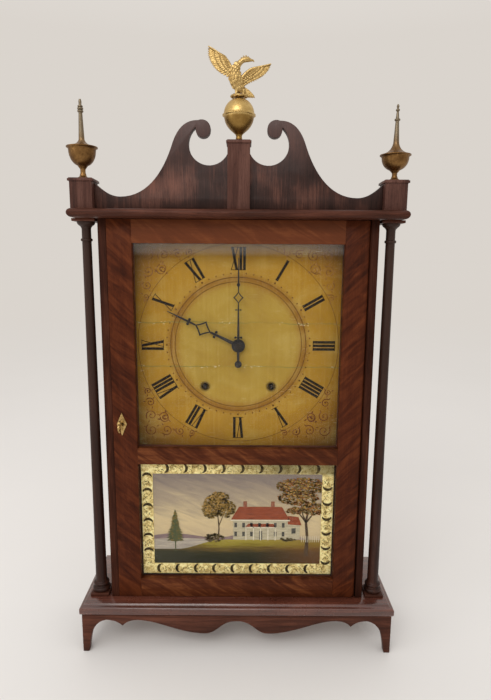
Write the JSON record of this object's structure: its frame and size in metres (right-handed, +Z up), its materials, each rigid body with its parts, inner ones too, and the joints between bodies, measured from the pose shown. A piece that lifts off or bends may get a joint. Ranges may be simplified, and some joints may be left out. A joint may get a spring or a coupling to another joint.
{
  "type": "pillar-and-scroll shelf clock",
  "caption": "Weight-driven shelf clock: glazed door between two slender columns, scrolled crest with brass finials and an eagle, on bracket feet.",
  "frame": {"origin": "on the surface the clock stands on, under the middle of its base", "axes": "+Z up, front of the clock faces -Y, +X to the right as it is seen from the front"},
  "size_m": [0.44, 0.128, 0.806],
  "materials": {
    "mahogany": "French-polished dark mahogany",
    "mahogany_veneer": "French-polished flame veneer",
    "crest_wood": "polished, greyed plum mahogany",
    "pine": "raw, oxidised",
    "aged_brass": "aged, dull",
    "gilt_brass": "burnished gilt",
    "movement_brass": "satin",
    "dial_paint": "aged cream-mustard paint over wood",
    "clear_glass": "clear, slightly wavy",
    "painted_glass": "glass painted on its back",
    "blued_iron": "blackened",
    "steel": "polished",
    "bell_metal": "turned, dull",
    "cast_weight": "rough cast",
    "linen_cord": "twisted, waxed"
  },
  "bodies": {
    "case": {"base_board": "mahogany", "front_apron": "mahogany", "side_aprons": "mahogany", "case_side_l": "mahogany", "case_side_r": "mahogany", "backboard": "pine", "cornice_board": "mahogany", "scroll_board": "crest_wood", "side_plinths": "mahogany", "centre_plinth": "crest_wood", "column_l": "mahogany", "column_r": "mahogany", "column_blocks": "mahogany", "finial_l": "aged_brass", "finial_r": "aged_brass", "ball_finial": "aged_brass", "eagle": "gilt_brass", "hinge_pins": "aged_brass", "dial": "dial_paint", "dial_cleats": "pine", "front_plate": "movement_brass", "back_plate": "movement_brass", "plate_pillars": "movement_brass", "suspension_cock": "movement_brass", "bell": "bell_metal", "bell_post": "steel", "cord_time": "linen_cord", "cord_strike": "linen_cord", "pulley_forks": "steel"},
    "door": {"door_stile_l": "mahogany_veneer", "door_stile_r": "mahogany_veneer", "door_rails": "mahogany_veneer", "dial_glass": "clear_glass", "tablet_glass": "painted_glass", "glazing_beads": "pine", "hinge_bushes": "aged_brass", "escutcheon": "gilt_brass", "lock_case": "aged_brass"},
    "lock_bolt": {"lock_bolt": "aged_brass"},
    "key": {"key": "gilt_brass"},
    "minute": {"minute_hand": "blued_iron", "centre_arbor": "movement_brass"},
    "hour": {"hour_hand": "blued_iron", "hour_pipe": "movement_brass"},
    "motion_wheel": {"minute_wheel": "movement_brass"},
    "time_drum": {"time_drum": "movement_brass"},
    "time_great_wheel": {"time_great_wheel": "movement_brass"},
    "third_wheel": {"third_wheel": "movement_brass"},
    "escape_wheel": {"escape_wheel": "movement_brass"},
    "verge": {"verge": "steel"},
    "pendulum": {"pendulum_rod": "steel", "pendulum_bob": "movement_brass"},
    "strike_drum": {"strike_drum": "movement_brass"},
    "strike_great_wheel": {"strike_great_wheel": "movement_brass"},
    "strike_wheel": {"strike_wheel": "movement_brass"},
    "hammer": {"hammer": "steel"},
    "weight_time": {"weight_time": "cast_weight"},
    "weight_strike": {"weight_strike": "cast_weight"},
    "pulley_l": {"pulley_l": "pine"},
    "pulley_r": {"pulley_r": "pine"}
  },
  "joints": [
    {"name": "door_swing", "type": "hinge", "parent": "case", "child": "door", "pos_m": [0.1638, -0.0375, 0.335], "axis": [0, 0, 1], "range_deg": [0, 105]},
    {"name": "bolt_slide", "type": "slide", "parent": "door", "child": "lock_bolt", "axis": [-1, 0, 0], "range_m": [0, 0.006]},
    {"name": "key_turn", "type": "hinge", "parent": "door", "child": "key", "pos_m": [-0.1563, -0.04, 0.331], "axis": [0, 1, 0], "range_deg": [0, 90.01]},
    {"name": "minute_turn", "type": "hinge", "parent": "case", "child": "minute", "pos_m": [0, 0.022, 0.435], "axis": [0, 1, 0], "continuous": true},
    {"name": "hour_turn", "type": "hinge", "parent": "case", "child": "hour", "pos_m": [0, -0.01, 0.435], "axis": [0, 1, 0], "continuous": true},
    {"name": "motion_wheel_turn", "type": "hinge", "parent": "case", "child": "motion_wheel", "pos_m": [0.02255, 0.004, 0.44321], "axis": [0, 1, 0], "continuous": true},
    {"name": "time_great_wheel_turn", "type": "hinge", "parent": "case", "child": "time_great_wheel", "pos_m": [0.046, 0.022, 0.377], "axis": [0, 1, 0], "continuous": true},
    {"name": "third_wheel_turn", "type": "hinge", "parent": "case", "child": "third_wheel", "pos_m": [-0.024, 0.022, 0.467], "axis": [0, 1, 0], "continuous": true},
    {"name": "escape_wheel_turn", "type": "hinge", "parent": "case", "child": "escape_wheel", "pos_m": [0, 0.022, 0.49383], "axis": [0, 1, 0], "continuous": true},
    {"name": "pendulum_swing", "type": "hinge", "parent": "case", "child": "pendulum", "pos_m": [0, 0.046, 0.52083], "axis": [0, 1, 0], "range_deg": [-4, 4]},
    {"name": "verge_rock", "type": "hinge", "parent": "case", "child": "verge", "pos_m": [0, 0.022, 0.52083], "axis": [0, 1, 0], "range_deg": [-4, 4]},
    {"name": "time_weight_lift", "type": "slide", "parent": "case", "child": "weight_time", "axis": [0, 0, 1], "range_m": [0, 0.18], "deforming": ["cord_time"]},
    {"name": "time_winding", "type": "hinge", "parent": "case", "child": "time_drum", "pos_m": [0.046, 0.022, 0.377], "axis": [0, 1, 0], "range_deg": [0, 644.58]},
    {"name": "pulley_r_turn", "type": "hinge", "parent": "case", "child": "pulley_r", "pos_m": [0.127, 0.022, 0.578], "axis": [0, 1, 0], "range_deg": [-859.44, 0]},
    {"name": "strike_weight_lift", "type": "slide", "parent": "case", "child": "weight_strike", "axis": [0, 0, 1], "range_m": [0, 0.18], "deforming": ["cord_strike"]},
    {"name": "strike_winding", "type": "hinge", "parent": "case", "child": "strike_drum", "pos_m": [-0.046, 0.022, 0.377], "axis": [0, 1, 0], "range_deg": [-644.58, 0]},
    {"name": "pulley_l_turn", "type": "hinge", "parent": "case", "child": "pulley_l", "pos_m": [-0.127, 0.022, 0.578], "axis": [0, 1, 0], "range_deg": [0, 859.44]},
    {"name": "strike_great_wheel_turn", "type": "hinge", "parent": "case", "child": "strike_great_wheel", "pos_m": [-0.046, 0.022, 0.377], "axis": [0, 1, 0], "continuous": true},
    {"name": "strike_wheel_turn", "type": "hinge", "parent": "case", "child": "strike_wheel", "pos_m": [-0.038, 0.022, 0.41619], "axis": [0, 1, 0], "continuous": true},
    {"name": "hammer_swing", "type": "hinge", "parent": "case", "child": "hammer", "pos_m": [-0.078, 0.022, 0.486], "axis": [0, 1, 0], "range_deg": [-14, 0]}
  ],
  "couplings": [
    {"joint": "key_turn", "follows": "bolt_slide", "rad_per_m": 261.8},
    {"joint": "hour_turn", "follows": "minute_turn", "ratio": 0.083333},
    {"joint": "motion_wheel_turn", "follows": "minute_turn", "ratio": -0.33333},
    {"joint": "time_great_wheel_turn", "follows": "minute_turn", "ratio": -0.12121},
    {"joint": "third_wheel_turn", "follows": "minute_turn", "ratio": -9},
    {"joint": "escape_wheel_turn", "follows": "minute_turn", "ratio": 81},
    {"joint": "verge_rock", "follows": "pendulum_swing", "ratio": 1},
    {"joint": "time_winding", "follows": "time_weight_lift", "rad_per_m": 62.5},
    {"joint": "pulley_r_turn", "follows": "time_weight_lift", "rad_per_m": -83.333},
    {"joint": "strike_winding", "follows": "strike_weight_lift", "rad_per_m": -62.5},
    {"joint": "pulley_l_turn", "follows": "strike_weight_lift", "rad_per_m": 83.333},
    {"joint": "strike_wheel_turn", "follows": "strike_great_wheel_turn", "ratio": -9}
  ]
}
